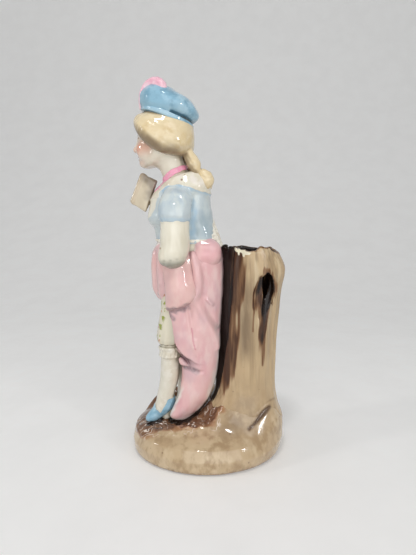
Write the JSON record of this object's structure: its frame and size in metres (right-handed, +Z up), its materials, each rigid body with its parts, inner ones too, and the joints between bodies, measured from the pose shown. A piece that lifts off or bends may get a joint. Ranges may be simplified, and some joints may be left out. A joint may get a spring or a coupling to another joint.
{
  "type": "figural bud vase",
  "caption": "Bud vase: a child in beret and draped overskirt stands on an oval mound against a hollow tree stump with a broken rim.",
  "frame": {"origin": "middle of the mound's footprint, on the surface that it stands on", "axes": "+Z up; the figure faces -X and its left side faces -Y; the stump stands on the +X side"},
  "size_m": [0.081, 0.066, 0.1901],
  "materials": {
    "tan_glaze": "glossy",
    "bark_glaze": "glossy",
    "white_glaze": "glossy",
    "skin_glaze": "glossy",
    "pale_blue_glaze": "glossy",
    "blue_glaze": "glossy",
    "pink_glaze": "glossy",
    "rose_glaze": "glossy",
    "blonde_glaze": "glossy"
  },
  "bodies": {
    "root": {"stump_vase": "bark_glaze", "base_mound": "tan_glaze", "left_stocking": "white_glaze", "right_stocking": "white_glaze", "left_shoe": "blue_glaze", "right_shoe": "blue_glaze", "left_knee_band": "white_glaze", "right_knee_band": "white_glaze", "breeches": "white_glaze", "head": "skin_glaze", "letter": "white_glaze", "left_arm": "skin_glaze", "right_arm": "skin_glaze", "left_sleeve": "pale_blue_glaze", "right_sleeve": "pale_blue_glaze", "neck_ribbon": "rose_glaze", "jacket": "pale_blue_glaze", "kerchief": "white_glaze", "near_ringlet": "blonde_glaze", "far_ringlet": "blonde_glaze", "beret_band": "blue_glaze", "hair": "blonde_glaze", "plume": "rose_glaze", "beret_crown": "blue_glaze", "left_swag": "pink_glaze", "waist_frill": "white_glaze", "back_puff": "pink_glaze", "right_swag": "pink_glaze", "train": "pink_glaze"}
  },
  "joints": []
}
